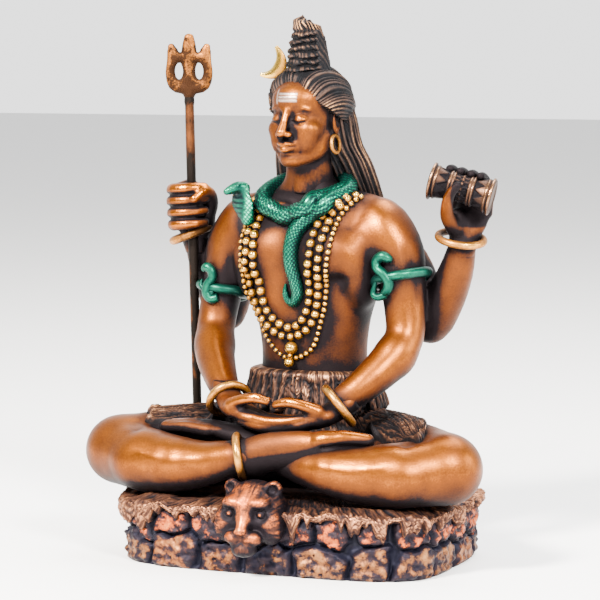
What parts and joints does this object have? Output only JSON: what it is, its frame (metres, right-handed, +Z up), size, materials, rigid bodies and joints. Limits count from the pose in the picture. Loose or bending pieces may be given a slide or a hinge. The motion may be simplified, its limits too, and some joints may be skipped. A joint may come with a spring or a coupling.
{
  "type": "seated shiva figure",
  "caption": "Small cast figure of Shiva seated in meditation on a rock with a tiger's skin, holding a trident and an hourglass drum, for a desk or shelf.",
  "frame": {"origin": "centre of the rock's plan on its flat underside", "axes": "+Z up; the figure faces -Y; its own left hand is on the +X side"},
  "size_m": [0.1134, 0.0752, 0.15],
  "materials": {
    "bronze_resin": "cold-cast bronze resin, dark in the recesses and rubbed bright on the high places",
    "gilt_bronze": "cold-cast bronze resin, painted brown on the staff and gilt on the fork"
  },
  "bodies": {
    "root": {"figure": "bronze_resin", "trident": "gilt_bronze"}
  },
  "joints": []
}
